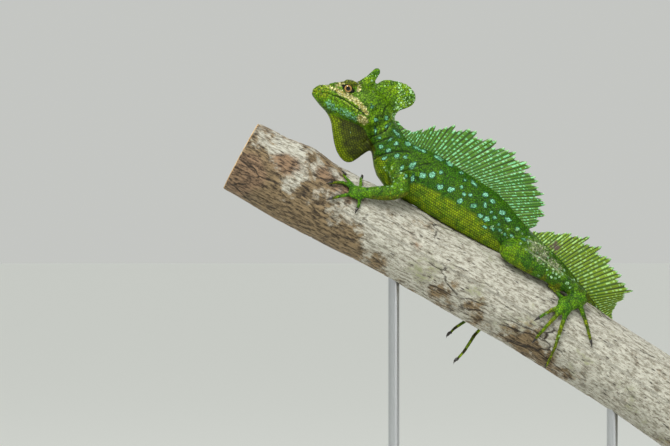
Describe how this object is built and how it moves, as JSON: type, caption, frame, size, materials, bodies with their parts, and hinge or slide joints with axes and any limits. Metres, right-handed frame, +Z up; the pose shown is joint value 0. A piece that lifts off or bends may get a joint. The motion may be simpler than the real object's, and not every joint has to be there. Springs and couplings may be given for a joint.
{
  "type": "life-size crested lizard model on a branch",
  "caption": "Green basilisk lizard with head, back and tail crests, gripping a cut length of sloping branch held by rods on a flat base.",
  "frame": {"origin": "middle of the stand base's underside", "axes": "+Z up, the nose points to -X and the tail to +X, the animal's left side faces -Y"},
  "size_m": [0.4067, 0.17, 0.486],
  "materials": {
    "skin": "fine dry scales, soft sheen",
    "belly": "fine scales, yellower below, turquoise spots",
    "crest": "thin skin over fine rays, satin",
    "throat": "fine beaded skin, matt",
    "eye": "wet gloss, orange iris and black pupil",
    "bark": "rough pale bark with brown patches",
    "base_wood": "dark stained wood, satin",
    "rod": "brushed"
  },
  "bodies": {
    "root": {"head": "skin", "left_eye": "eye", "right_eye": "eye", "head_crest": "crest", "brow_crest": "crest", "throat_pouch": "throat", "neck": "skin", "torso": "belly", "back_crest": "crest", "tail_base": "skin", "tail_2": "skin", "tail_3": "skin", "tail_4": "skin", "tail_5": "skin", "tail_tip": "skin", "tail_crest": "crest", "left_upper_arm": "skin", "left_forearm": "skin", "left_hand": "skin", "right_upper_arm": "skin", "right_forearm": "skin", "right_hand": "skin", "left_thigh": "skin", "left_shank": "skin", "left_foot": "skin", "right_thigh": "skin", "right_shank": "skin", "right_foot": "skin", "branch": "bark", "stand_base": "base_wood", "stand_rod_front": "rod", "stand_rod_back": "rod"}
  },
  "joints": []
}
